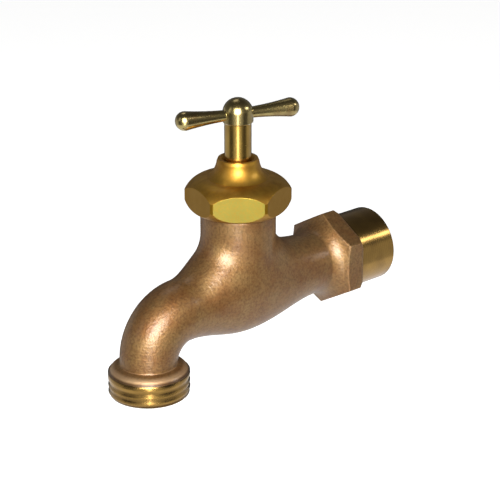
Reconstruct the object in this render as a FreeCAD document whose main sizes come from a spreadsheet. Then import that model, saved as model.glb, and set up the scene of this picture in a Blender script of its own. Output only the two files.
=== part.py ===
import FreeCAD, Part
import math
import os
from types import SimpleNamespace

import Sketcher

# Hose bibb: a bent globe tap with a sweat inlet, a washer on a rising stem and a hose thread outlet.
# Millimetres. The origin is the middle of the inlet mouth, +X points out of the inlet, +Z points up.

os.makedirs("parts", exist_ok=True)
doc = FreeCAD.newDocument("hose_bibb")
sheet = doc.addObject("Spreadsheet::Sheet", "dims")
V = FreeCAD.Vector
d = SimpleNamespace()

# Main lines
d.inlet_to_stem = 61.1
d.stem_to_outlet = 38.6
d.outlet_drop = 26.6

# Inlet: a cup for copper tube, with a hexagon to hold it by
d.cup_radius = 11.15
d.cup_depth = 19.0
d.cup_wall = 1.75
d.hex_flats = 28.5
d.hex_width = 6.1
d.hex_to_stem = 38.5
d.hex_chamfer = 0.9
d.passage_radius = 7.5

# Outlet: a threaded collar for a garden hose
d.hose_thread_radius = 13.4
d.hose_thread_pitch = 2.209
d.hose_thread_depth = 0.45
d.hose_thread_length = 7.7
d.hose_thread_turn = 150.0
d.collar_step = 0.25
d.collar_shoulder = 2.6
d.collar_shoulder_round = 4.5
d.collar_top_radius = 9.8
d.collar_chamfer = 0.6
d.outlet_radius = 7.0

# Casting: radii of the globe, waist and spout, how far the globe's top rises towards the neck, the fall of
# the spout to its bend, and the neck
d.globe_radius = 15.7
d.globe_reach = 31.0
d.globe_width = 13.4
d.globe_rise = 6.0
d.waist_radius = 10.7
d.flare_length = 7.2
d.flare_round = 8.0
d.flare_sink = 0.5
d.spout_root_radius = 10.4
d.spout_end_radius = 9.5
d.spout_fall = 1.5
d.bend_radius = 14.0
d.neck_radius = 12.5
d.neck_fillet = 12.0

# Seat and chambers
d.seat_radius = 5.5
d.seat_wall = 1.8
d.seat_top = 6.0
d.seat_height = 1.6
d.chamber_radius = 9.9
d.chamber_top = 19.0
d.lower_radius = 6.3
d.lower_drop = 4.1
d.slope_start = 20.0
d.slope_end = 10.5
d.lower_end = 1.0
d.transfer_radius = 5.6
d.transfer_rise = 5.0
d.transfer_start = 13.6
d.transfer_end = 19.5

# Neck: the stem's thread inside, the nut's thread outside, a packing box at the top
d.stem_bore_radius = 8.9
d.box_radius = 9.9
d.box_depth = 6.2
d.neck_top = 34.8
d.neck_thread_radius = 12.0
d.neck_shoulder_gap = 0.3

# Packing nut
d.nut_lap = 7.45
d.nut_height = 18.05
d.nut_flats = 31.0
d.nut_under_cut = 2.0
d.nut_under_rise = 3.9
d.nut_under_round = 6.0
d.nut_corner_cut = 0.3
d.nut_flat_height = 7.25
d.nut_dome_radius = 10.2
d.nut_dome_round = 9.0
d.nut_flare_radius = 7.0
d.nut_flare_height = 5.5
d.nut_flare_round = 8.0
d.nut_rim_height = 1.0
d.nut_rim_radius = 6.6
d.nut_recess_radius = 5.6
d.nut_recess_depth = 1.6
d.nut_angle = 20.0

# Stem
d.shank_radius = 4.45
d.stem_thread_turns = 3.75
d.stem_boss_radius = 6.6
d.stem_boss_length = 3.4
d.stem_chamfer = 0.6
d.handle_clear = 12.0
d.tang_flats = 5.6
d.tang_length = 4.8
d.stem_thread_pitch = 2.4
d.turns_open = 2.25

# Seat washer, its cup and its screw
d.washer_radius = 7.4
d.washer_thickness = 3.0
d.cup_rim_wall = 0.9
d.cup_rim_cover = 1.7
d.cup_base = 1.5
d.screw_radius = 2.0
d.screw_head_radius = 3.9
d.screw_head_height = 1.9
d.screw_slot_width = 0.9
d.screw_slot_depth = 0.8
d.screw_depth = 7.0

# Packing
d.support_thickness = 1.2
d.packing_height = 1.5
d.packing_count = 3
d.gland_thickness = 1.4

# Handle
d.handle_angle = -17.0
d.hub_radius = 5.05
d.hub_rise = 3.25
d.hub_lip = 0.4
d.bar_drop = 0.45
d.bar_root_radius = 1.8
d.bar_end_radius = 3.2
d.bar_half_length = 21.7
d.bar_hollow = 120.0
d.set_screw_radius = 1.6

# Clearances
d.running_clearance = 0.08
d.seated_gap = 0.02
d.face_gap = 0.1
d.seat_gap = 0.05

# Places that follow from the sizes above
d.zero = 0.0
d.stem_x = -d.inlet_to_stem
d.outlet_x = d.stem_x - d.stem_to_outlet
d.outlet_end = -d.outlet_drop
d.spigot_radius = d.cup_radius + d.cup_wall
d.cup_floor_x = -d.cup_depth
d.hex_inner_x = d.stem_x + d.hex_to_stem
d.hex_outer_x = d.hex_inner_x + d.hex_width
d.flare_x = d.hex_inner_x - d.flare_length
d.flare_root_radius = d.waist_radius - d.flare_sink
d.hex_circum = d.hex_flats / math.sqrt(3)
d.hex_block_length = d.flare_length + d.hex_width
d.hex_chamfer_at = d.hex_block_length - d.hex_chamfer
d.hex_chamfer_radius = d.hex_circum - d.hex_chamfer
d.spigot_length = -d.hex_inner_x
d.collar_chamfer_radius = d.hose_thread_radius - d.collar_chamfer
d.collar_chamfer_top = d.outlet_end + d.collar_chamfer
d.collar_side_top = d.outlet_end + d.hose_thread_length
d.collar_step_radius = d.hose_thread_radius - d.collar_step
d.collar_top = d.collar_side_top + d.collar_shoulder
d.bend_x = d.outlet_x + d.bend_radius
d.bend_z = -d.spout_fall - d.bend_radius
d.spout_z = -d.spout_fall
d.nut_bottom = d.neck_top - d.nut_lap
d.nut_top = d.nut_bottom + d.nut_height
d.neck_shoulder = d.nut_bottom - d.neck_shoulder_gap
d.box_floor = d.neck_top - d.box_depth
d.seat_outer = d.seat_radius + d.seat_wall
d.moat_floor = d.seat_top - d.seat_height
d.chamber_height = d.chamber_top - d.moat_floor
d.stem_bore_height = d.neck_top - d.chamber_top
d.lower_z = -d.lower_drop
d.port_height = d.seat_top + d.lower_drop
d.slope_start_x = d.stem_x + d.slope_start
d.slope_end_x = d.stem_x + d.slope_end
d.lower_end_x = d.stem_x + d.lower_end
d.transfer_start_x = d.stem_x - d.transfer_start
d.transfer_end_x = d.stem_x - d.transfer_end
d.nut_circum = d.nut_flats / math.sqrt(3)
d.nut_bottom_radius = d.nut_flats / 2 - d.nut_under_cut
d.nut_corner_radius = d.nut_circum - d.nut_corner_cut
d.nut_under_top = d.nut_bottom + d.nut_under_rise
d.nut_dome_start = d.nut_bottom + d.nut_flat_height
d.nut_flare_top = d.nut_top - d.nut_rim_height
d.nut_dome_top = d.nut_flare_top - d.nut_flare_height
d.handle_seat = d.nut_top + d.handle_clear
d.washer_bottom = d.seat_top + d.seat_gap
d.washer_top = d.washer_bottom + d.washer_thickness
d.cup_rim_inner = d.washer_radius + d.seated_gap
d.cup_rim_outer = d.cup_rim_inner + d.cup_rim_wall
d.cup_rim_bottom = d.washer_top - d.cup_rim_cover
d.cup_seat = d.washer_top + d.seated_gap
d.cup_top = d.cup_seat + d.cup_base
d.cup_hole = d.screw_radius + d.face_gap
d.stem_bottom = d.cup_top + d.face_gap
d.stem_thread_bottom = d.stem_bottom + d.stem_boss_length
d.stem_thread_length = d.stem_thread_turns * d.stem_thread_pitch
d.stem_thread_top = d.stem_thread_bottom + d.stem_thread_length
d.stem_thread_radius = d.stem_bore_radius - d.running_clearance
d.stem_chamfer_radius = d.stem_thread_radius - d.stem_chamfer
d.stem_chamfer_bottom = d.stem_thread_bottom + d.stem_chamfer
d.stem_chamfer_top = d.stem_thread_top - d.stem_chamfer
d.screw_hole = d.screw_radius + d.seated_gap
d.screw_hole_top = d.stem_bottom + d.screw_depth + d.stem_chamfer
d.shank_hole = d.shank_radius + d.running_clearance
d.tang_top = d.handle_seat + d.tang_length
d.screw_head_top = d.washer_bottom - d.face_gap
d.screw_head_bottom = d.screw_head_top - d.screw_head_height
d.screw_slot_top = d.screw_head_bottom + d.screw_slot_depth
d.screw_top = d.stem_bottom + d.screw_depth
d.ring_radius = d.box_radius - d.seated_gap
d.support_bottom = d.box_floor + d.seated_gap
d.support_top = d.support_bottom + d.support_thickness
d.packing_bottom = d.support_top + d.seated_gap
d.packing_step = d.packing_height + d.seated_gap
d.gland_bottom = d.packing_bottom + d.packing_count * d.packing_step
d.gland_top = d.gland_bottom + d.gland_thickness
d.nut_ceiling = d.gland_top + d.seated_gap
d.nut_bore_radius = d.neck_thread_radius + d.running_clearance
d.nut_recess_floor = d.nut_top - d.nut_recess_depth
d.hub_centre = d.handle_seat + d.hub_rise
d.bar_height = d.hub_centre - d.bar_drop
d.hub_lip_radius = d.hub_radius - d.hub_lip
d.hub_bottom = d.handle_seat + d.seated_gap
d.hub_lip_top = d.hub_bottom + d.hub_lip
d.hub_top = d.hub_centre + d.hub_radius
d.bar_reach = d.bar_half_length - d.bar_end_radius
d.bar_left = -d.bar_reach
d.bar_root_right = d.hub_radius / 2
d.bar_root_left = -d.bar_root_right
d.bar_left_end = -d.bar_half_length
d.socket_flats = d.tang_flats + 2 * d.seated_gap
d.socket_height = d.tang_length + d.hub_lip
d.set_screw_hole = d.set_screw_radius + d.seated_gap
d.set_screw_start = d.tang_flats / 2 + 2 * d.seated_gap
d.set_screw_length = d.hub_radius - d.hub_lip - d.set_screw_start

rows = 0


def note(name, value):
    """Give a size its own row and name in the sheet."""
    global rows
    rows += 1
    setattr(d, name, value)
    sheet.set("A%d" % rows, name)
    sheet.set("B%d" % rows, "%.6f" % value)
    sheet.setAlias("B%d" % rows, name)
    return name


for size_name, size_value in list(vars(d).items()):
    note(size_name, size_value)
doc.recompute()


def bind(item, links):
    """Tie properties of an object to named cells of the sheet."""
    for prop, cell in links.items():
        item.setExpression(prop, "dims." + cell)
    return item


def place(item, x="zero", y="zero", z="zero", turn=None):
    """Put an object at three named places, turned as asked."""
    item.Placement = FreeCAD.Placement(V(), turn or FreeCAD.Rotation())
    return bind(item, {"Placement.Base.x": x, "Placement.Base.y": y, "Placement.Base.z": z})


def rod(name, radius, height, x="zero", z="zero", turn=None):
    """A cylinder that starts at (x, 0, z) and runs up, or along the way it is turned."""
    item = bind(doc.addObject("Part::Cylinder", name), {"Radius": radius, "Height": height})
    return place(item, x, "zero", z, turn)


def ball(name, radius, x="zero", z="zero"):
    """A sphere about (x, 0, z)."""
    return place(bind(doc.addObject("Part::Sphere", name), {"Radius": radius}), x, "zero", z)


def run(name, radius, start, end):
    """A cylinder between two points of the middle plane, each given by the names of its x and z."""
    across = getattr(d, end[0]) - getattr(d, start[0])
    rise = getattr(d, end[1]) - getattr(d, start[1])
    note(name + "_length", math.hypot(across, rise))
    turn = FreeCAD.Rotation(V(0, 0, 1), V(across, 0, rise))
    return rod(name, radius, name + "_length", start[0], start[1], turn)


def fuse(name, shapes):
    """Join shapes into one."""
    item = doc.addObject("Part::MultiFuse", name)
    item.Shapes = shapes
    return item


def cut(name, base, tool):
    """Take one shape out of another."""
    item = doc.addObject("Part::Cut", name)
    item.Base = base
    item.Tool = tool
    return item


def value_of(point):
    return V(getattr(d, point[0]), getattr(d, point[1]), 0)


def section(name, points):
    """A closed half section: each point names its radius and height. A third name makes the edge that
    ends there an arc of that radius, and a fourth, left or right, is the side of the way it bulges to."""
    sketch = doc.addObject("Sketcher::SketchObject", name)
    sketch.Placement = FreeCAD.Placement(V(), FreeCAD.Rotation(V(1, 0, 0), 90))
    ends = []
    for index, point in enumerate(points):
        target = points[(index + 1) % len(points)]
        a, b = value_of(point), value_of(target)
        if len(target) == 2:
            sketch.addGeometry(Part.LineSegment(a, b))
            ends.append((1, 2))
            continue
        radius = getattr(d, target[2])
        half = (b - a).Length / 2
        left = V(a.y - b.y, b.x - a.x, 0).normalize()
        side = -1 if target[3] == "left" else 1
        centre = (a + b) / 2 + left * side * math.sqrt(max(radius**2 - half**2, 0))
        first, last = (a, b) if side == 1 else (b, a)
        angles = [math.atan2(p.y - centre.y, p.x - centre.x) for p in (first, last)]
        if angles[1] < angles[0]:
            angles[1] += 2 * math.pi
        sketch.addGeometry(Part.ArcOfCircle(Part.Circle(centre, V(0, 0, 1), radius), *angles))
        ends.append((1, 2) if side == 1 else (2, 1))
    for index, point in enumerate(points):
        start = ends[index][0]
        if len(point) > 2:
            row = sketch.addConstraint(Sketcher.Constraint("Radius", index - 1, getattr(d, point[2])))
            sketch.setExpression("Constraints[%d]" % row, "dims." + point[2])
        before = (index - 1) % len(points)
        sketch.addConstraint(Sketcher.Constraint("Coincident", before, ends[before][1], index, start))
        for kind, cell in zip(("DistanceX", "DistanceY"), point):
            constraint = Sketcher.Constraint(kind, -1, 1, index, start, getattr(d, cell))
            row = sketch.addConstraint(constraint)
            sketch.setExpression("Constraints[%d]" % row, "dims." + cell)
    return sketch


def turned(name, points, x="zero"):
    """A turned solid: a half section carried once around the upright axis at x."""
    item = doc.addObject("Part::Revolution", name)
    item.Source = section(name + "_section", points)
    item.Axis = V(0, 0, 1)
    item.Base = V(0, 0, 0)
    item.Angle = 360
    item.Solid = True
    return place(item, x)


def ring(name, inner, outer, bottom, top, x="stem_x"):
    """A plain ring or washer about the stem."""
    corners = [(inner, bottom), (outer, bottom), (outer, top), (inner, top)]
    return turned(name, corners, x)


ALONG_X = FreeCAD.Rotation(V(0, 1, 0), 90)
SEAM_BELOW = FreeCAD.Rotation(V(0, 0, 1), 180)
TOWARDS_SPOUT = FreeCAD.Rotation(V(0, 1, 0), -90) * SEAM_BELOW
DOWN = FreeCAD.Rotation(V(0, 1, 0), -180) * SEAM_BELOW
ROUND_THE_BEND = FreeCAD.Rotation(V(0, 0, 1), V(-1, 0, 0), V(0, -1, 0), "XYZ")


# The outside of the casting is one smooth run of oval sections, from the hexagon through the waist and the
# globe to the spout, which bends down to the collar. The sections stand at these shares of the way from the
# stem to the waist, and from the stem to the bend.
WAIST_SHARES = (1, 0.84, 0.67, 0.5, 0.33, 0.16, 0)
SPOUT_SHARES = (0.2, 0.4, 0.6, 0.8, 1)


def between(small, large, share):
    """Give the length that lies at a share of the way from a small one to a large one."""
    return small + (large - small) * share


def casting_stations():
    """Give x, z, half height and half width of each section of the casting, from the hexagon to the bend."""
    stations = [(d.flare_x + d.flare_length / 2, 0, d.waist_radius, d.waist_radius)]
    for share in WAIST_SHARES:
        swell = math.cos(math.pi / 2 * share) ** 2
        lift = d.globe_rise / 2 * swell**3
        high = between(d.waist_radius, d.globe_radius, swell) + lift
        wide = between(d.waist_radius, d.globe_width, swell)
        stations.append((d.stem_x + d.globe_reach * share, lift, high, wide))
    reach = d.stem_to_outlet - d.bend_radius
    for share in SPOUT_SHARES:
        swell = math.cos(math.pi / 2 * share) ** 2
        lift = d.globe_rise / 2 * (1 - share**3) ** 2
        high = between(d.spout_root_radius, d.globe_radius, swell) + lift
        wide = between(d.spout_root_radius, d.globe_width, swell)
        fall = d.spout_fall * (1 - math.cos(math.pi * share)) / 2
        stations.append((d.stem_x - reach * share, lift - fall, high, wide))
    return stations


ovals = []
for number, (x, z, high, wide) in enumerate(casting_stations()):
    oval = doc.addObject("Part::Ellipse", "casting_section_%d" % number)
    high = note("station_height_%d" % number, high)
    wide = note("station_width_%d" % number, min(wide, getattr(d, high)))
    bind(oval, {"MajorRadius": high, "MinorRadius": wide})
    across = note("station_x_%d" % number, x)
    up = note("station_z_%d" % number, z)
    place(oval, across, "zero", up, TOWARDS_SPOUT)
    ovals.append(oval)
casting_run = doc.addObject("Part::Loft", "casting_run")
casting_run.Sections = ovals
casting_run.Solid = True
casting_run.Ruled = False

# The spout turns down round a quarter circle and narrows on the way, then runs straight into the collar
bend_end = doc.addObject("Part::Circle", "spout_bend_end")
bind(bend_end, {"Radius": "spout_end_radius"})
place(bend_end, "outlet_x", "zero", "bend_z", DOWN)
bend_line = doc.addObject("Part::Circle", "spout_bend_line")
bind(bend_line, {"Radius": "bend_radius"})
bend_line.Angle2 = 90
place(bend_line, "bend_x", "zero", "bend_z", ROUND_THE_BEND)
bend_run = doc.addObject("Part::Sweep", "spout_bend")
bend_run.Sections = [ovals[-1], bend_end]
bend_run.Spine = (bend_line, ["Edge1"])
bend_run.Solid = True
note("spout_drop", d.bend_z - d.collar_side_top)
spout_foot = rod("spout_foot", "spout_end_radius", "spout_drop", "outlet_x", "collar_side_top")

neck = rod("casting_neck", "neck_radius", "neck_shoulder", "stem_x")
rough = fuse("casting_rough", [casting_run, neck])
doc.recompute()


def round_edges(name, base, radius, wanted):
    """Round the edges of a shape for which wanted is true."""
    item = doc.addObject("Part::Fillet", name)
    item.Base = base
    size = getattr(d, radius)
    edges = enumerate(base.Shape.Edges, start=1)
    item.Edges = [(number, size, size) for number, edge in edges if wanted(edge)]
    return item


def on_neck_foot(edge):
    """Tell whether an edge is where the neck grows out of the globe."""
    points = edge.discretize(9)
    off = max(abs(math.hypot(p.x - d.stem_x, p.y) - d.neck_radius) for p in points)
    low = min(p.z for p in points)
    high = max(p.z for p in points)
    return off < 0.01 and 1 < low and high < d.neck_shoulder - 1


blended = round_edges("casting_blended", rough, "neck_fillet", on_neck_foot)

# The waist flares out in a hollow curve to the corners of the hexagon, which are chamfered at the far end
hexagon = doc.addObject("Part::Prism", "inlet_hexagon")
bind(hexagon, {"Circumradius": "hex_circum", "Height": "hex_block_length"})
hexagon.Polygon = 6
place(hexagon, "flare_x", turn=ALONG_X)
hex_round = turned("inlet_flare", [
    ("zero", "zero"),
    ("flare_root_radius", "zero"),
    ("hex_circum", "flare_length", "flare_round", "left"),
    ("hex_circum", "hex_chamfer_at"),
    ("hex_chamfer_radius", "hex_block_length"),
    ("zero", "hex_block_length"),
])
place(hex_round, "flare_x", turn=ALONG_X)
inlet_hex = doc.addObject("Part::Common", "inlet_hex")
inlet_hex.Base = hexagon
inlet_hex.Tool = hex_round
spigot = rod("inlet_spigot", "spigot_radius", "spigot_length", "hex_inner_x", turn=ALONG_X)
neck_thread = rod("neck_thread", "neck_thread_radius", "neck_top", "stem_x")
collar = turned("hose_collar", [
    ("zero", "outlet_end"),
    ("collar_chamfer_radius", "outlet_end"),
    ("hose_thread_radius", "collar_chamfer_top"),
    ("hose_thread_radius", "collar_side_top"),
    ("collar_step_radius", "collar_side_top"),
    ("collar_top_radius", "collar_top", "collar_shoulder_round", "right"),
    ("zero", "collar_top"),
], "outlet_x")
outside = fuse("casting_outside", [blended, bend_run, spout_foot, inlet_hex, spigot, neck_thread, collar])

# The waterway: in through the cup, down and up through the seat, over the partition and out of the spout
note("passage_length", -d.cup_depth - d.slope_start_x)
note("bend_drop", d.bend_z - d.outlet_end)
seat_ring = ring("seat_ring", "seat_radius", "seat_outer", "moat_floor", "seat_top")
chamber_bore = rod("chamber_bore", "chamber_radius", "chamber_height", "stem_x", "moat_floor")
chamber = cut("chamber", chamber_bore, seat_ring)
bend = doc.addObject("Part::Torus", "spout_bend_bore")
bind(bend, {"Radius1": "bend_radius", "Radius2": "outlet_radius"})
bend.Angle3 = 90
place(bend, "bend_x", "zero", "bend_z", ROUND_THE_BEND)
waterway = fuse("waterway", [
    rod("cup_bore", "cup_radius", "cup_depth", "cup_floor_x", turn=ALONG_X),
    rod("passage", "passage_radius", "passage_length", "slope_start_x", turn=ALONG_X),
    ball("passage_joint", "lower_radius", "slope_start_x"),
    run("slope", "lower_radius", ("slope_start_x", "zero"), ("slope_end_x", "lower_z")),
    ball("slope_joint", "lower_radius", "slope_end_x", "lower_z"),
    run("lower_chamber", "lower_radius", ("slope_end_x", "lower_z"), ("lower_end_x", "lower_z")),
    ball("lower_chamber_end", "lower_radius", "lower_end_x", "lower_z"),
    rod("seat_port", "seat_radius", "port_height", "stem_x", "lower_z"),
    chamber,
    rod("stem_bore", "stem_bore_radius", "stem_bore_height", "stem_x", "chamber_top"),
    rod("packing_box", "box_radius", "box_depth", "stem_x", "box_floor"),
    ball("transfer_start", "transfer_radius", "transfer_start_x", "transfer_rise"),
    run("transfer", "transfer_radius", ("transfer_start_x", "transfer_rise"), ("transfer_end_x", "spout_z")),
    ball("transfer_joint", "transfer_radius", "transfer_end_x", "spout_z"),
    run("spout_bore", "outlet_radius", ("transfer_end_x", "spout_z"), ("bend_x", "spout_z")),
    bend,
    rod("outlet_bore", "outlet_radius", "bend_drop", "outlet_x", "outlet_end"),
])
bored = cut("casting_bored", outside, waterway)

# The hose thread: one right hand groove, cut from the end of the collar up to its shoulder. Its floor is a
# quarter of the pitch wide, and its mouth leaves a narrow crest.
FLOOR_SHARE = 0.25
MOUTH_SHARE = 0.88
groove = doc.addObject("Part::Feature", "hose_thread_groove")
start = d.outlet_end - d.hose_thread_pitch
length = d.hose_thread_length + d.hose_thread_pitch / 2
helix = Part.makeHelix(d.hose_thread_pitch, length, d.hose_thread_radius)
root = d.hose_thread_radius - d.hose_thread_depth
lip = d.hose_thread_radius + d.hose_thread_depth / 2
root_half = d.hose_thread_pitch * FLOOR_SHARE / 2
slope = (d.hose_thread_pitch * MOUTH_SHARE / 2 - root_half) / d.hose_thread_depth
lip_half = root_half + slope * (lip - root)
corners = [V(root, 0, -root_half), V(lip, 0, -lip_half), V(lip, 0, lip_half), V(root, 0, root_half)]
profile = Part.makePolygon(corners + corners[:1])
groove.Shape = Part.Wire(helix.Edges).makePipeShell([profile], True, True)
groove_turn = FreeCAD.Rotation(V(0, 0, 1), d.hose_thread_turn)
groove.Placement = FreeCAD.Placement(V(d.outlet_x, 0, start), groove_turn)
valve_body = cut("valve_body", bored, groove)

# Packing nut: a domed cap nut that holds the packing down round the stem
nut_outside = turned("nut_outside", [
    ("zero", "nut_bottom"),
    ("nut_bottom_radius", "nut_bottom"),
    ("nut_corner_radius", "nut_under_top", "nut_under_round", "right"),
    ("nut_corner_radius", "nut_dome_start"),
    ("nut_dome_radius", "nut_dome_top", "nut_dome_round", "right"),
    ("nut_flare_radius", "nut_flare_top", "nut_flare_round", "left"),
    ("nut_rim_radius", "nut_top"),
    ("zero", "nut_top"),
], "stem_x")
nut_hexagon = doc.addObject("Part::Prism", "nut_hexagon")
bind(nut_hexagon, {"Circumradius": "nut_circum", "Height": "nut_height"})
nut_hexagon.Polygon = 6
place(nut_hexagon, "stem_x", "zero", "nut_bottom", FreeCAD.Rotation(V(0, 0, 1), d.nut_angle))
nut_blank = doc.addObject("Part::Common", "nut_blank")
nut_blank.Base = nut_outside
nut_blank.Tool = nut_hexagon
nut_inside = turned("nut_inside", [
    ("zero", "nut_bottom"),
    ("nut_bore_radius", "nut_bottom"),
    ("nut_bore_radius", "nut_ceiling"),
    ("shank_hole", "nut_ceiling"),
    ("shank_hole", "nut_recess_floor"),
    ("nut_recess_radius", "nut_top"),
    ("zero", "nut_top"),
], "stem_x")
packing_nut = cut("packing_nut", nut_blank, nut_inside)

# Packing: a brass support ring, soft rings and a brass gland ring, stacked in the neck round the stem
support_ring = ring("support_ring", "shank_hole", "ring_radius", "support_bottom", "support_top")
soft_rings = []
for number in range(int(d.packing_count)):
    bottom = note("packing_bottom_%d" % number, d.packing_bottom + number * d.packing_step)
    top = note("packing_top_%d" % number, getattr(d, bottom) + d.packing_height)
    soft_rings.append(ring("packing_ring_%d" % number, "shank_hole", "ring_radius", bottom, top))
packing_rings = doc.addObject("Part::Compound", "packing_rings")
packing_rings.Links = soft_rings
gland_ring = ring("gland_ring", "shank_hole", "ring_radius", "gland_bottom", "gland_top")

# Seat washer, the swivel cup that holds it, and the screw that keeps both on the stem
seat_washer = ring("seat_washer", "cup_hole", "washer_radius", "washer_bottom", "washer_top")
washer_cup = turned("washer_cup", [
    ("cup_hole", "cup_seat"),
    ("cup_rim_inner", "cup_seat"),
    ("cup_rim_inner", "cup_rim_bottom"),
    ("cup_rim_outer", "cup_rim_bottom"),
    ("cup_rim_outer", "cup_top"),
    ("cup_hole", "cup_top"),
], "stem_x")

# The stem, the handle and their screws are made about their own axis, then turned with the handle
HANDLE_TURN = FreeCAD.Rotation(V(0, 0, 1), d.handle_angle)


def block(name, width, height, z):
    """A square bar about the upright axis, from z upwards."""
    item = doc.addObject("Part::Box", name)
    bind(item, {"Length": width, "Width": width, "Height": height, "Placement.Base.z": z})
    item.setExpression("Placement.Base.x", "-dims.%s / 2" % width)
    item.setExpression("Placement.Base.y", "-dims.%s / 2" % width)
    return item


stem_round = turned("stem_round", [
    ("zero", "stem_bottom"),
    ("stem_boss_radius", "stem_bottom"),
    ("stem_boss_radius", "stem_thread_bottom"),
    ("stem_chamfer_radius", "stem_thread_bottom"),
    ("stem_thread_radius", "stem_chamfer_bottom"),
    ("stem_thread_radius", "stem_chamfer_top"),
    ("stem_chamfer_radius", "stem_thread_top"),
    ("shank_radius", "stem_thread_top"),
    ("shank_radius", "handle_seat"),
    ("zero", "handle_seat"),
])
tang = block("stem_tang", "tang_flats", "tang_length", "handle_seat")
note("screw_hole_depth", d.screw_hole_top - d.stem_bottom)
screw_hole = rod("stem_screw_hole", "screw_hole", "screw_hole_depth", "zero", "stem_bottom")
stem = cut("stem", fuse("stem_blank", [stem_round, tang]), screw_hole)
place(stem, "stem_x", turn=HANDLE_TURN)

screw_round = turned("washer_screw_round", [
    ("zero", "screw_head_bottom"),
    ("screw_head_radius", "screw_head_bottom"),
    ("screw_head_radius", "screw_head_top"),
    ("screw_radius", "screw_head_top"),
    ("screw_radius", "screw_top"),
    ("zero", "screw_top"),
])
note("slot_length", 2 * d.screw_head_radius)
slot = doc.addObject("Part::Box", "washer_screw_slot")
bind(slot, {"Length": "slot_length", "Width": "screw_slot_width", "Height": "screw_slot_depth"})
bind(slot, {"Placement.Base.z": "screw_head_bottom"})
slot.setExpression("Placement.Base.x", "-dims.slot_length / 2")
slot.setExpression("Placement.Base.y", "-dims.screw_slot_width / 2")
washer_screw = place(cut("washer_screw", screw_round, slot), "stem_x", turn=HANDLE_TURN)

# Tee handle: a round hub with two club shaped arms, cast in one, on the square end of the stem
hub = turned("handle_hub", [
    ("zero", "hub_bottom"),
    ("hub_lip_radius", "hub_bottom"),
    ("hub_radius", "hub_lip_top"),
    ("hub_radius", "hub_centre"),
    ("zero", "hub_top", "hub_radius", "right"),
])
bar = turned("handle_bar", [
    ("zero", "bar_left_end"),
    ("bar_end_radius", "bar_left", "bar_end_radius", "right"),
    ("bar_root_radius", "bar_root_left", "bar_hollow", "left"),
    ("bar_root_radius", "bar_root_right"),
    ("bar_end_radius", "bar_reach", "bar_hollow", "left"),
    ("zero", "bar_half_length", "bar_end_radius", "right"),
])
place(bar, "zero", "zero", "bar_height", ALONG_X)
blank = fuse("handle_blank", [hub, bar])
socket = block("handle_socket", "socket_flats", "socket_height", "hub_bottom")
BACK = FreeCAD.Rotation(V(0, 0, 1), V(0, 1, 0))
set_hole = rod("set_screw_hole", "set_screw_hole", "hub_radius", "zero", "bar_height", BACK)
tee_handle = cut("tee_handle", blank, fuse("handle_hollows", [socket, set_hole]))
place(tee_handle, "stem_x", turn=HANDLE_TURN)

set_screw_rod = rod("set_screw_rod", "set_screw_radius", "set_screw_length", "zero", "bar_height", BACK)
bind(set_screw_rod, {"Placement.Base.y": "set_screw_start"})
note("hex_key_radius", d.set_screw_radius / 2)
note("hex_key_depth", d.set_screw_length / 2)
note("hex_key_start", d.set_screw_start + d.set_screw_length / 2)
key = doc.addObject("Part::Prism", "set_screw_key")
bind(key, {"Circumradius": "hex_key_radius", "Height": "hex_key_depth"})
key.Polygon = 6
place(key, "zero", "hex_key_start", "bar_height", BACK)
set_screw = place(cut("set_screw", set_screw_rod, key), "stem_x", turn=HANDLE_TURN)

doc.recompute()
pieces = [
    valve_body, packing_nut, support_ring, packing_rings, gland_ring,
    seat_washer, washer_cup, stem, washer_screw, tee_handle, set_screw,
]
for item in doc.Objects:
    if "Invalid" in item.State or "Error" in item.State:
        raise SystemExit("%s could not be made" % item.Name)
for piece in pieces:
    piece.Label = piece.Name
    if piece.Shape.isNull() or not piece.Shape.isValid():
        raise SystemExit("%s is not a sound shape" % piece.Name)
for piece in pieces:
    piece.Shape.exportStep("parts/%s.step" % piece.Label)
    print(piece.Label, len(piece.Shape.Solids), round(piece.Shape.Volume, 1))
print("stem lift", round(d.turns_open * d.stem_thread_pitch, 3), "mm in", d.turns_open, "turns")
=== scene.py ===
import math

import bpy
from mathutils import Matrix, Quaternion, Vector


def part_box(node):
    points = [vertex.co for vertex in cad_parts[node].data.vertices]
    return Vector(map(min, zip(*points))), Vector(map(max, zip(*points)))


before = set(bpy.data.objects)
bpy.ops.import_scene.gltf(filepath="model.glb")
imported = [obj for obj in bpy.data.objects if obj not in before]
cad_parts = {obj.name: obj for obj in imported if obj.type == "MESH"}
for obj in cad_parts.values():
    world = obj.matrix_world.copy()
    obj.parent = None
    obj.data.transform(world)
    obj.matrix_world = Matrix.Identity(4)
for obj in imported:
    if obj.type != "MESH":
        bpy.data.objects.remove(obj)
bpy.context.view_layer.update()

# The casting is the tap's body, one piece from the inlet to the outlet. It is sand cast in red brass and left
# as it came out of the mould, browned by air and handling. The inlet's spigot and socket, the hose thread and
# the bores are cut bright on a lathe. Its sizes are in millimetres, and the frame is in metres.
MM = 0.001
SPIGOT_LENGTH = 16.5
THREAD_HEIGHT = 7.75
THREAD_RADIUS = 13.4
THREAD_DEPTH = 0.45
SKIN_EDGE = 0.05
low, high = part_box("valve_body")
spigot_start = high.x / MM - SPIGOT_LENGTH
thread_top = low.z / MM + THREAD_HEIGHT
outlet_axis = low.x / MM + THREAD_RADIUS


def tone(code):
    """Turn an sRGB hex colour into the linear colour that a shader takes."""
    parts = [int(code[i:i + 2], 16) / 255 for i in (1, 3, 5)]
    return [c / 12.92 if c <= 0.04045 else ((c + 0.055) / 1.055) ** 2.4 for c in parts] + [1.0]


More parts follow.
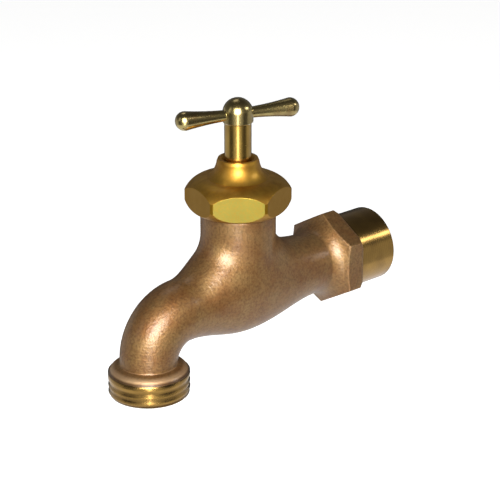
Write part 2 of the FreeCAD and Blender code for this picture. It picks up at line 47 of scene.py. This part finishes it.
def add(tree, kind, feeds=None, **settings):
    """Add a node with its settings. Feeds maps an input, by its name or number, to what it takes: a plain
    value, another node's socket, or a node, which gives its first output."""
    node = tree.nodes.new(kind)
    for name, value in settings.items():
        setattr(node, name, value)
    for key, source in (feeds or {}).items():
        if isinstance(source, bpy.types.Node):
            source = next(socket for socket in source.outputs if socket.enabled)
        if isinstance(source, bpy.types.NodeSocket):
            tree.links.new(source, node.inputs[key])
        else:
            node.inputs[key].default_value = source
    return node


def new_material(name):
    """Start an empty material and give it with its node tree."""
    material = bpy.data.materials.new(name)
    material.use_nodes = True
    material.node_tree.nodes.clear()
    return material, material.node_tree


def place_in_mm(tree):
    """Give each point's place on the tap in millimetres, for patterns that are drawn to real sizes."""
    place = add(tree, "ShaderNodeTexCoord").outputs["Object"]
    return add(tree, "ShaderNodeVectorMath", {0: place, 1: (1 / MM,) * 3}, operation="MULTIPLY")


def dress(node, material):
    """Give a node of the frame its finish."""
    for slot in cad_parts[node].material_slots:
        slot.material = material


# Red brass as cast has a rough brown skin, so thin that it is still mostly metal, and shows its bright yellow
# where it is cut. The sand's grain and the lathe's lines are drawn about three times as coarse as real ones,
# which would be too fine to show.
cast_brass, tree = new_material("red brass, sand cast and browned")
mm = place_in_mm(tree)
x, y, z = add(tree, "ShaderNodeSeparateXYZ", {"Vector": mm}).outputs
on_spigot = add(tree, "ShaderNodeMapRange", {
    "Value": x, "From Min": spigot_start - SKIN_EDGE, "From Max": spigot_start + SKIN_EDGE})
on_thread = add(tree, "ShaderNodeMapRange", {
    "Value": z, "From Min": thread_top + SKIN_EDGE, "From Max": thread_top - SKIN_EDGE})
cut = add(tree, "ShaderNodeMath", {0: on_spigot, 1: on_thread}, operation="MAXIMUM")

# The skin is brown with redder clouds and dark specks of burnt sand. Its edges, found where the rounded
# normal leaves the true one, are rubbed paler in patches.
CAST_BROWN = "#88693f"
CAST_RED = "#7a522b"
BURNT_SAND = "#3e2a17"
RUBBED_EDGE = "#b88e62"
CLOUD_SIZE = 9.0
SAND_GRAIN = 0.8
EDGE_WIDTH = 0.6
cloud = add(tree, "ShaderNodeTexNoise", {
    "Vector": mm, "Scale": 1 / CLOUD_SIZE, "Detail": 4, "Roughness": 0.6})
cloud = add(tree, "ShaderNodeMapRange", {"Value": cloud, "From Min": 0.35, "From Max": 0.68})
speck = add(tree, "ShaderNodeTexNoise", {"Vector": mm, "Scale": 1 / SAND_GRAIN, "Detail": 3})
speck = add(tree, "ShaderNodeMapRange", {"Value": speck, "From Min": 0.4, "From Max": 0.8, "To Max": 0.6})
skin = add(tree, "ShaderNodeMix", {
    "Factor": cloud, "A": tone(CAST_BROWN), "B": tone(CAST_RED)}, data_type="RGBA")
skin = add(tree, "ShaderNodeMix", {"Factor": speck, "A": skin, "B": tone(BURNT_SAND)}, data_type="RGBA")
rounded = add(tree, "ShaderNodeBevel", {"Radius": EDGE_WIDTH * MM}, samples=8)
true_normal = add(tree, "ShaderNodeNewGeometry").outputs["Normal"]
alike = add(tree, "ShaderNodeVectorMath", {0: rounded, 1: true_normal}, operation="DOT_PRODUCT")
edge = add(tree, "ShaderNodeMapRange", {"Value": alike, "From Min": 0.995, "From Max": 0.93, "To Max": 0.7})
edge = add(tree, "ShaderNodeMath", {0: edge, 1: cloud}, operation="MULTIPLY")
skin = add(tree, "ShaderNodeMix", {"Factor": edge, "A": skin, "B": tone(RUBBED_EDGE)}, data_type="RGBA")

# The cut metal is yellow and dulled by smears from fingers. Down in the thread it is darkened with painted
# shade.
CUT_BRIGHT = "#ad8742"
CUT_DULL = "#80602c"
PAINTED_SHADE = "#402a18"
SMEAR_SIZE = 6.0
smear = add(tree, "ShaderNodeTexNoise", {"Vector": mm, "Scale": 1 / SMEAR_SIZE, "Detail": 3})
smear = add(tree, "ShaderNodeMapRange", {"Value": smear, "From Min": 0.4, "From Max": 0.75, "To Max": 0.6})
bright = add(tree, "ShaderNodeMix", {
    "Factor": smear, "A": tone(CUT_BRIGHT), "B": tone(CUT_DULL)}, data_type="RGBA")
across = add(tree, "ShaderNodeCombineXYZ", {"X": x, "Y": y})
from_axis = add(tree, "ShaderNodeVectorMath", {0: across, 1: (outlet_axis, 0, 0)}, operation="DISTANCE")
# Painted shade: the thread is darker towards the bottom of its grooves.
groove_shade = add(tree, "ShaderNodeMapRange", {
    "Value": from_axis, "From Min": THREAD_RADIUS, "From Max": THREAD_RADIUS - THREAD_DEPTH, "To Max": 0.25})
groove_shade = add(tree, "ShaderNodeMath", {0: groove_shade, 1: on_thread}, operation="MULTIPLY")
bright = add(tree, "ShaderNodeMix", {"Factor": groove_shade, "A": bright, "B": tone(PAINTED_SHADE)}, data_type="RGBA")

# The collar's shoulder has a pale ring of painted highlight, and a dark line of painted shadow runs where it
# meets the thread.
# Each has a height over the thread, a reach up and down, a share of the colour, and its own shade.
SHOULDER_HIGHLIGHT = "#d2b088"
RINGS = ((1.3, 0.9, 0.4, SHOULDER_HIGHLIGHT), (0.2, 0.6, 0.75, PAINTED_SHADE))
colour = add(tree, "ShaderNodeMix", {"Factor": cut, "A": skin, "B": bright}, data_type="RGBA")
for height, reach, share, shade in RINGS:
    away = add(tree, "ShaderNodeMath", {0: z, 1: thread_top + height}, operation="SUBTRACT")
    away = add(tree, "ShaderNodeMath", {0: away}, operation="ABSOLUTE")
    ring = add(tree, "ShaderNodeMapRange", {
        "Value": away, "From Min": reach, "From Max": reach / 3, "To Max": share})
    colour = add(tree, "ShaderNodeMix", {"Factor": ring, "A": colour, "B": tone(shade)}, data_type="RGBA")

# The skin's relief has slow swells from the mould, the sand's grain, and low on the spout the lines of a
# grinding belt. One band of a wave texture is 0.314 wide at a scale of 1.
SWELL_SIZE = 6.0
LINE_PITCH = 0.9
WAVE_LENGTH = 0.314
BELT_HEIGHT = 19.6
BELT_FADE = 3.0
SOFT_EDGE = 1.2
belt_top = low.z / MM + BELT_HEIGHT
swell = add(tree, "ShaderNodeTexNoise", {"Vector": mm, "Scale": 1 / SWELL_SIZE, "Detail": 2})
grain = add(tree, "ShaderNodeTexNoise", {
    "Vector": mm, "Scale": 1 / SAND_GRAIN, "Detail": 3, "Roughness": 0.6})
down = add(tree, "ShaderNodeCombineXYZ", {"X": z})
belt_lines = add(tree, "ShaderNodeTexWave", {
    "Vector": down, "Scale": WAVE_LENGTH / LINE_PITCH, "Distortion": 1.2, "Detail": 3},
    wave_type="BANDS", bands_direction="X")
low_down = add(tree, "ShaderNodeMapRange", {
    "Value": z, "From Min": belt_top + BELT_FADE, "From Max": belt_top - BELT_FADE})
belt_lines = add(tree, "ShaderNodeMath", {0: belt_lines.outputs["Fac"], 1: low_down}, operation="MULTIPLY")
skin_relief = add(tree, "ShaderNodeBevel", {"Radius": SOFT_EDGE * MM}, samples=8)
for height, strength, depth in ((swell, 0.35, 0.35), (grain, 0.8, 0.13), (belt_lines, 0.35, 0.04)):
    skin_relief = add(tree, "ShaderNodeBump", {
        "Height": height, "Strength": strength, "Distance": depth * MM, "Normal": skin_relief})

# The cut metal's relief has the lathe's lines, round the spigot and round the thread. Its edges are crisp on
# the spigot and worn round on the thread.
CRISP_EDGE = 0.3
WORN_EDGE = 2.5
along = add(tree, "ShaderNodeMix", {"Factor": on_thread, "A": x, "B": z}, data_type="FLOAT")
along = add(tree, "ShaderNodeCombineXYZ", {"X": along})
lathe_lines = add(tree, "ShaderNodeTexWave", {
    "Vector": along, "Scale": WAVE_LENGTH / LINE_PITCH, "Distortion": 0.15, "Detail": 1},
    wave_type="BANDS", bands_direction="X")
crisp = add(tree, "ShaderNodeBevel", {"Radius": CRISP_EDGE * MM}, samples=8)
worn = add(tree, "ShaderNodeBevel", {"Radius": WORN_EDGE * MM}, samples=16)
cut_relief = add(tree, "ShaderNodeMix", {"Factor": on_thread, "A": crisp, "B": worn}, data_type="VECTOR")
cut_relief = add(tree, "ShaderNodeBump", {
    "Height": lathe_lines.outputs["Fac"], "Strength": 0.4, "Distance": 0.03 * MM, "Normal": cut_relief})

# A thin film of oil lies on both, as on anything that is handled. On the dull brown skin it gives the soft
# white of the highlights.
relief = add(tree, "ShaderNodeMix", {"Factor": cut, "A": skin_relief, "B": cut_relief}, data_type="VECTOR")
rough = add(tree, "ShaderNodeMix", {"Factor": cut, "A": 0.54, "B": 0.21}, data_type="FLOAT")
metal = add(tree, "ShaderNodeMix", {"Factor": cut, "A": 0.85, "B": 1.0}, data_type="FLOAT")
film = add(tree, "ShaderNodeMix", {"Factor": cut, "A": 0.6, "B": 0.4}, data_type="FLOAT")
shader = add(tree, "ShaderNodeBsdfPrincipled", {
    "Base Color": colour, "Metallic": metal, "Roughness": rough, "Normal": relief,
    "Coat Weight": film, "Coat Roughness": 0.21, "Coat Normal": relief})
add(tree, "ShaderNodeOutputMaterial", {"Surface": shader})
dress("valve_body", cast_brass)

# The seat washer is a flat ring of black nitrile rubber, punched from sheet. It sits in a brass cup, and a
# slotted brass screw holds both to the foot of the stem, so that the washer can turn as it meets the seat.
FILLER_GRAIN = 0.4
SCUFF_SIZE = 0.7
low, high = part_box("stem")
stem_axis = (low.x + high.x) / 2 / MM


def soft_ring(name, ground, filler, roughness):
    """Rubber or fibre: dull, with a fine grain of paler filler."""
    material, tree = new_material(name)
    grain = add(tree, "ShaderNodeTexNoise", {
        "Vector": place_in_mm(tree), "Scale": 1 / FILLER_GRAIN, "Detail": 3})
    colour = add(tree, "ShaderNodeMix", {
        "Factor": grain, "A": tone(ground), "B": tone(filler)}, data_type="RGBA")
    relief = add(tree, "ShaderNodeBump", {"Height": grain, "Strength": 0.4, "Distance": 0.05 * MM})
    shader = add(tree, "ShaderNodeBsdfPrincipled", {
        "Base Color": colour, "Roughness": roughness, "IOR": 1.5, "Normal": relief})
    add(tree, "ShaderNodeOutputMaterial", {"Surface": shader})
    return material


def turned_brass(name, light, dark, roughness, pitch, cloud_size=7.0, edge_width=0.2, film=0.25):
    """Yellow brass with lines round the stem's axis, cloudy tarnish, fine scuffs and a clear film over it.
    The lines are two or three times as coarse as a tool's real ones, so that they show."""
    material, tree = new_material(name)
    mm = place_in_mm(tree)
    cloud = add(tree, "ShaderNodeTexNoise", {
        "Vector": mm, "Scale": 1 / cloud_size, "Detail": 4, "Roughness": 0.6})
    cloud = add(tree, "ShaderNodeMapRange", {"Value": cloud, "From Min": 0.35, "From Max": 0.7})
    colour = add(tree, "ShaderNodeMix", {
        "Factor": cloud, "A": tone(light), "B": tone(dark)}, data_type="RGBA")
    rough = add(tree, "ShaderNodeMix", {
        "Factor": cloud, "A": roughness, "B": roughness + 0.1}, data_type="FLOAT")

    x, y, z = add(tree, "ShaderNodeSeparateXYZ", {"Vector": mm}).outputs
    across = add(tree, "ShaderNodeCombineXYZ", {"X": x, "Y": y})
    from_axis = add(tree, "ShaderNodeVectorMath", {0: across, 1: (stem_axis, 0, 0)}, operation="DISTANCE")
    along = add(tree, "ShaderNodeMath", {0: z, 1: from_axis}, operation="ADD")
    along = add(tree, "ShaderNodeCombineXYZ", {"X": along})
    lines = add(tree, "ShaderNodeTexWave", {
        "Vector": along, "Scale": WAVE_LENGTH / pitch, "Distortion": 0.4},
        wave_type="BANDS", bands_direction="X")
    scuff = add(tree, "ShaderNodeTexNoise", {
        "Vector": mm, "Scale": 1 / SCUFF_SIZE, "Detail": 4, "Roughness": 0.7})
    relief = add(tree, "ShaderNodeBevel", {"Radius": edge_width * MM}, samples=8)
    for height, strength, depth in ((lines.outputs["Fac"], 0.2, 0.01), (scuff, 0.15, 0.02)):
        relief = add(tree, "ShaderNodeBump", {
            "Height": height, "Strength": strength, "Distance": depth * MM, "Normal": relief})
    shader = add(tree, "ShaderNodeBsdfPrincipled", {
        "Base Color": colour, "Metallic": 1.0, "Roughness": rough, "Normal": relief,
        "Coat Weight": film, "Coat Roughness": 0.2})
    add(tree, "ShaderNodeOutputMaterial", {"Surface": shader})
    return material


# Nitrile rubber is black and matt. Turned brass that water keeps clean is pale yellow and shines.
dress("seat_washer", soft_ring("nitrile rubber, punched", "#141414", "#232323", roughness=0.55))
clean_brass = turned_brass(
    "yellow brass, turned and kept wet", "#c8aa66", "#b09050", roughness=0.25, pitch=0.3)
dress("washer_cup", clean_brass)
dress("washer_screw", clean_brass)

# The stem is one rod of yellow brass, turned to a foot for the washer, a coarse thread, a shank and a square
# end that holds the handle. Sliding through the packing polishes the shank, so it shines like gold.
dress("stem", turned_brass(
    "yellow brass rod, polished", "#c4a04c", "#a88238", roughness=0.2, pitch=0.3,
    cloud_size=12.0, edge_width=0.1, film=0.6))

# The packing seals the stem. Three rings of graphited fibre lie on a brass ring in the neck's box, and a
# second brass ring on top of them takes the push of the nut. The graphite makes the fibre dark grey and dull.
dress("packing_rings", soft_ring("graphited fibre, pressed", "#2b2b2c", "#4a4a4c", roughness=0.6))
dress("support_ring", clean_brass)
dress("gland_ring", clean_brass)

# The packing nut screws down over the neck. It is turned from hexagon bar of yellow brass, with a domed top
# and a small flare round the stem.
nut_brass = turned_brass(
    "yellow brass bar, old lacquer", "#c0943c", "#8e6422", roughness=0.4, pitch=0.5, film=0.12)

# Old lacquer has gone olive on it and dulls it, the flats more than the dome. The flat that faces the camera,
# and the one opposite it, are painted paler and greener with a fine mottle, a painted highlight for the light
# on the front flat.
LACQUERED_FLAT = "#926c12"
FRONT_FLAT_HIGHLIGHT = "#80762f"
FRONT_FLAT_ANGLE = math.radians(50)
tree = nut_brass.node_tree
shader = tree.nodes["Principled BSDF"]
colour = shader.inputs["Base Color"].links[0].from_socket
true_normal = add(tree, "ShaderNodeNewGeometry").outputs["True Normal"]
tilt = add(tree, "ShaderNodeVectorMath", {0: true_normal, 1: (0, 0, 1)}, operation="DOT_PRODUCT")
tilt = add(tree, "ShaderNodeMath", {0: tilt}, operation="ABSOLUTE")
flat = add(tree, "ShaderNodeMapRange", {"Value": tilt, "From Min": 0.04, "From Max": 0.01, "To Max": 0.8})
colour = add(tree, "ShaderNodeMix", {
    "Factor": flat, "A": colour, "B": tone(LACQUERED_FLAT)}, data_type="RGBA")
# Painted highlight: the flat facing the camera and the one opposite it are painted paler and greener, in a
# mottle.
toward = add(tree, "ShaderNodeVectorMath", {
    0: true_normal, 1: (math.cos(FRONT_FLAT_ANGLE), math.sin(FRONT_FLAT_ANGLE), 0)}, operation="DOT_PRODUCT")
toward = add(tree, "ShaderNodeMath", {0: toward}, operation="ABSOLUTE")
front_flat_lit = add(tree, "ShaderNodeMapRange", {"Value": toward, "From Min": 0.99, "From Max": 0.998})
scuff = add(tree, "ShaderNodeTexNoise", {
    "Vector": place_in_mm(tree), "Scale": 1 / SCUFF_SIZE, "Detail": 4, "Roughness": 0.7})
flat_mottle = add(tree, "ShaderNodeMapRange", {"Value": scuff, "From Min": 0.35, "From Max": 0.6, "To Min": 0.5})
front_flat_lit = add(tree, "ShaderNodeMath", {0: front_flat_lit, 1: flat_mottle}, operation="MULTIPLY")
colour = add(tree, "ShaderNodeMix", {
    "Factor": front_flat_lit, "A": colour, "B": tone(FRONT_FLAT_HIGHLIGHT)}, data_type="RGBA")
tree.links.new(colour.outputs["Result"], shader.inputs["Base Color"])
dress("packing_nut", nut_brass)

# The tee handle is cast in yellow brass, a ball for a hub and two arms like clubs, and fits over the stem's
# square. It is tumbled until smooth, so it shines, but slow ripples keep its highlights uneven.
dress("tee_handle", turned_brass(
    "yellow brass, cast and tumbled", "#bba868", "#866c3c", roughness=0.2, pitch=1.2,
    cloud_size=6.0, edge_width=0.25, film=0.9))

# The set screw goes in from the back of the hub and bites on the stem's square. It is a plain steel screw
# with a hexagon socket, hardened and dipped in oil, which leaves it dark with a soft shine.
STEEL_LIGHT = "#8b8986"
STEEL_DARK = "#5d5b58"
OIL_PATCH = 0.8
oiled_steel, tree = new_material("steel, hardened and oiled")
oil = add(tree, "ShaderNodeTexNoise", {"Vector": place_in_mm(tree), "Scale": 1 / OIL_PATCH, "Detail": 3})
colour = add(tree, "ShaderNodeMix", {
    "Factor": oil, "A": tone(STEEL_LIGHT), "B": tone(STEEL_DARK)}, data_type="RGBA")
shader = add(tree, "ShaderNodeBsdfPrincipled", {"Base Color": colour, "Metallic": 1.0, "Roughness": 0.32})
add(tree, "ShaderNodeOutputMaterial", {"Surface": shader})
dress("set_screw", oiled_steel)

# The studio floor is a sheet of matt white board, far below the tap, which is held up by its inlet as on a
# wall. It glows a little for the camera and for reflections alone, so that it looks as white as paper.
WHITE = (1, 1, 1, 1)
BOARD_WHITE = "#f2f2f0"
FLOOR_Z = -0.26
FLOOR_SIZE = 9.0
FLOOR_GLOW = 0.8
bpy.ops.mesh.primitive_grid_add(x_subdivisions=2, y_subdivisions=2, size=FLOOR_SIZE, location=(0, 0, FLOOR_Z))
floor = bpy.context.object
floor.name = "studio_floor"
board, tree = new_material("white board, matt")
rays = add(tree, "ShaderNodeLightPath").outputs
seen = add(tree, "ShaderNodeMath", {0: rays["Is Camera Ray"], 1: rays["Is Glossy Ray"]},
           operation="ADD", use_clamp=True)
glow = add(tree, "ShaderNodeMath", {0: seen, 1: FLOOR_GLOW}, operation="MULTIPLY")
shader = add(tree, "ShaderNodeBsdfPrincipled", {
    "Base Color": tone(BOARD_WHITE), "Roughness": 0.9, "Emission Color": WHITE, "Emission Strength": glow})
add(tree, "ShaderNodeOutputMaterial", {"Surface": shader})
floor.data.materials.append(board)

# The room round the tap is dim and has no colour. It is a little brighter near the floor than overhead, and
# leaves the work to the lamps.
world = bpy.data.worlds.new("dim studio")
bpy.context.scene.world = world
world.use_nodes = True
tree = world.node_tree
tree.nodes.clear()
way = add(tree, "ShaderNodeTexCoord").outputs["Generated"]
height = add(tree, "ShaderNodeSeparateXYZ", {"Vector": way}).outputs["Z"]
light = add(tree, "ShaderNodeMapRange", {
    "Value": height, "From Min": -0.1, "From Max": 0.8, "To Min": 0.2, "To Max": 0.06})
room = add(tree, "ShaderNodeBackground", {"Color": WHITE, "Strength": light})
add(tree, "ShaderNodeOutputWorld", {"Surface": room})

# Six soft boxes light the tap: the key box by the camera, brighter in its middle, a weak sheet low in front,
# a weak one on the left, and another above and behind. The right one is turned to draw the line of light
# along the inlet's spigot. They and the camera point at one spot of the tap, and directions are from there.
AIM_POINT = Vector((-0.05588, 0.0, 0.01163))
for name, direction, distance, width, height, turn, power in (
        ("key_box", (-0.64, -0.69, 0.46), 0.8, 0.6, 0.6, 0.0, 11.5),
        ("key_core", (-0.64, -0.69, 0.42), 0.79, 0.3, 0.3, 0.0, 5.0),
        ("front_sheet", (-0.66, -0.66, -0.30), 0.8, 0.5, 0.3, 0.0, 4.0),
        ("left_box", (-1.0, 0.35, 0.5), 1.2, 0.3, 0.6, 0.0, 0.5),
        ("right_box", (0.615, -0.612, 0.497), 1.2, 0.5, 0.14, -0.46, 1.8),
        ("top_box", (0.2, 0.5, 1.0), 1.1, 0.4, 0.4, 0.0, 0.6)):
    lamp = bpy.data.lights.new(name, "AREA")
    lamp.shape = "RECTANGLE"
    lamp.size = width
    lamp.size_y = height
    lamp.energy = power
    box = bpy.data.objects.new(name, lamp)
    bpy.context.scene.collection.objects.link(box)
    box.location = AIM_POINT + Vector(direction).normalized() * distance
    aim = (AIM_POINT - box.location).to_track_quat("-Z", "Y")
    box.rotation_euler = (aim @ Quaternion((0, 0, 1), turn)).to_euler()

# Black cards stand in a ring round the tap, as for any bright metal, and a grey one lies under it. They show
# in its reflections alone. The ring has a gap on the camera's side, brightest in its middle, and a dimmer one
# on each side at the back. A gap has a turn from the camera, half a width in radians, and a strength.
TO_CAMERA = Vector((-0.6148, -0.6978, 0.3676)).normalized()
RING_RADIUS = 0.5
RING_FOOT = -0.25
RING_HEIGHT = 0.36
RING_SIDES = 96
BLACK_GLOW = 0.05
GREY_GLOW = 0.85
GAPS = ((0, 0.5, 0.45), (0, 0.22, 1.1), (0, 0.055, 8.0), (1.9, 0.5, 0.5), (-1.9, 0.5, 0.5))
FADE_OUTER = 1.5
FADE_INNER = 0.7
bpy.ops.mesh.primitive_cylinder_add(
    vertices=RING_SIDES, radius=RING_RADIUS, depth=RING_HEIGHT, end_fill_type="NOTHING",
    location=(AIM_POINT.x, AIM_POINT.y, RING_FOOT + RING_HEIGHT / 2))
ring_card = bpy.context.object
ring_card.name = "black_cards"
black, tree = new_material("black card")
place = add(tree, "ShaderNodeTexCoord").outputs["Object"]
x, y = add(tree, "ShaderNodeSeparateXYZ", {"Vector": place}).outputs[:2]
glow = BLACK_GLOW
for turn, half_width, strength in GAPS:
    way = math.atan2(TO_CAMERA.y, TO_CAMERA.x) + turn
    near = add(tree, "ShaderNodeMath", {0: x, 1: math.cos(way) / RING_RADIUS}, operation="MULTIPLY")
    near = add(tree, "ShaderNodeMath", {
        0: y, 1: math.sin(way) / RING_RADIUS, 2: near}, operation="MULTIPLY_ADD")
    glow = add(tree, "ShaderNodeMapRange", {
        "Value": near, "From Min": math.cos(half_width * FADE_OUTER), "To Min": glow,
        "From Max": math.cos(half_width * FADE_INNER), "To Max": strength}, interpolation_type="SMOOTHSTEP")
paper = add(tree, "ShaderNodeEmission", {"Color": WHITE, "Strength": glow})
add(tree, "ShaderNodeOutputMaterial", {"Surface": paper})
ring_card.data.materials.append(black)

bpy.ops.mesh.primitive_circle_add(
    vertices=RING_SIDES, radius=RING_RADIUS, fill_type="NGON", location=(AIM_POINT.x, AIM_POINT.y, RING_FOOT))
low_card = bpy.context.object
low_card.name = "grey_card"
grey, tree = new_material("grey card")
paper = add(tree, "ShaderNodeEmission", {"Color": WHITE, "Strength": GREY_GLOW})
add(tree, "ShaderNodeOutputMaterial", {"Surface": paper})
low_card.data.materials.append(grey)
for card in (ring_card, low_card):
    card.visible_camera = False
    card.visible_diffuse = False
    card.visible_shadow = False
    card.visible_transmission = False

# The camera looks down on the tap from the spout's side, 0.6 m away. Its long lens fills the square picture
# with the tap and shows little perspective.
CAMERA_DISTANCE = 0.6
LENS = 129.2
SENSOR_WIDTH = 36
FAR_CLIP = 20
camera_data = bpy.data.cameras.new("camera")
camera_data.sensor_width = SENSOR_WIDTH
camera_data.lens = LENS
camera_data.clip_end = FAR_CLIP
camera = bpy.data.objects.new("camera", camera_data)
bpy.context.scene.collection.objects.link(camera)
camera.location = AIM_POINT + TO_CAMERA * CAMERA_DISTANCE
camera.rotation_euler = TO_CAMERA.to_track_quat("Z", "Y").to_euler()
bpy.context.scene.camera = camera
bpy.context.scene.view_settings.view_transform = "Standard"
